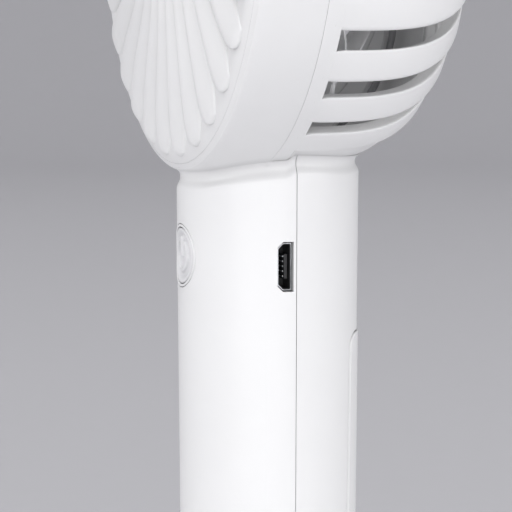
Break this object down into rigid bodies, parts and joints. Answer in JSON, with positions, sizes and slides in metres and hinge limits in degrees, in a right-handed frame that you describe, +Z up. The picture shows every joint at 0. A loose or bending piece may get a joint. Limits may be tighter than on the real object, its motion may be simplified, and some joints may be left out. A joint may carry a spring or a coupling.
{
  "type": "handheld electric fan",
  "caption": "Handheld fan: round tapered handle with cell door, power button and charging socket, under a drum head with a swirl front grille, slotted rear guard and motor impeller.",
  "frame": {"origin": "centre of the flat base of the handle", "axes": "+Z up along the handle, -Y the way the fan blows, +X the side with the charging socket"},
  "size_m": [0.094, 0.0481, 0.206],
  "materials": {
    "white_shell": "moulded white ABS, fine satin gloss",
    "white_satin": "moulded white ABS, satin",
    "white_button": null,
    "white_impeller": "moulded off-white PP",
    "steel": "nickel plated steel",
    "copper": "laminations and enamelled copper winding",
    "brass": "bent sheet contact",
    "black_plastic": "moulded black nylon",
    "board": "solder-resisted board",
    "led": "clear epoxy",
    "cell_wrap": "shrink sleeve over the cell's can, plain, unprinted",
    "red_wire": "soft PVC insulation",
    "black_wire": "soft PVC insulation",
    "white_wire": "soft PVC insulation",
    "grey_wire": "soft PVC insulation"
  },
  "bodies": {
    "casing": {"front_shell": "white_shell", "rear_shell": "white_shell", "rear_guard": "white_shell", "front_grille": "white_shell", "motor_cover": "white_shell", "base_cap": "white_satin", "centre_cap": "white_satin", "button_ring": "white_satin", "motor_can": "steel", "motor_screw_1": "steel", "motor_screw_2": "steel", "board_screw_1": "steel", "board_screw_2": "steel", "shell_screw_1": "steel", "shell_screw_2": "steel", "usb_socket_shell": "steel", "negative_spring": "steel", "battery_positive_cap": "steel", "positive_contact": "brass", "negative_plate": "brass", "motor_terminal_1": "brass", "motor_terminal_2": "brass", "motor_end_cap": "black_plastic", "switch_body": "black_plastic", "charge_chip": "black_plastic", "usb_socket_tongue": "black_plastic", "circuit_board": "board", "charge_led": "led", "battery_cell": "cell_wrap", "battery_lead_red": "red_wire", "battery_lead_black": "black_wire", "motor_lead_white": "white_wire", "motor_lead_grey": "grey_wire"},
    "impeller_body": {"impeller": "white_impeller", "motor_shaft": "steel", "motor_armature": "copper"},
    "button_body": {"power_button": "white_button", "switch_plunger": "white_satin"},
    "door_body": {"battery_door": "white_shell"}
  },
  "joints": [
    {"name": "impeller_spin", "type": "hinge", "parent": "casing", "child": "impeller_body", "pos_m": [0, 0, 0.159], "axis": [0, 1, 0], "continuous": true},
    {"name": "button_press", "type": "slide", "parent": "casing", "child": "button_body", "axis": [0, 1, 0], "range_m": [0, 0.0004], "stiffness_N_per_m": 800},
    {"name": "door_slide", "type": "slide", "parent": "casing", "child": "door_body", "axis": [0, 0, -1], "range_m": [0, 0.008]}
  ]
}
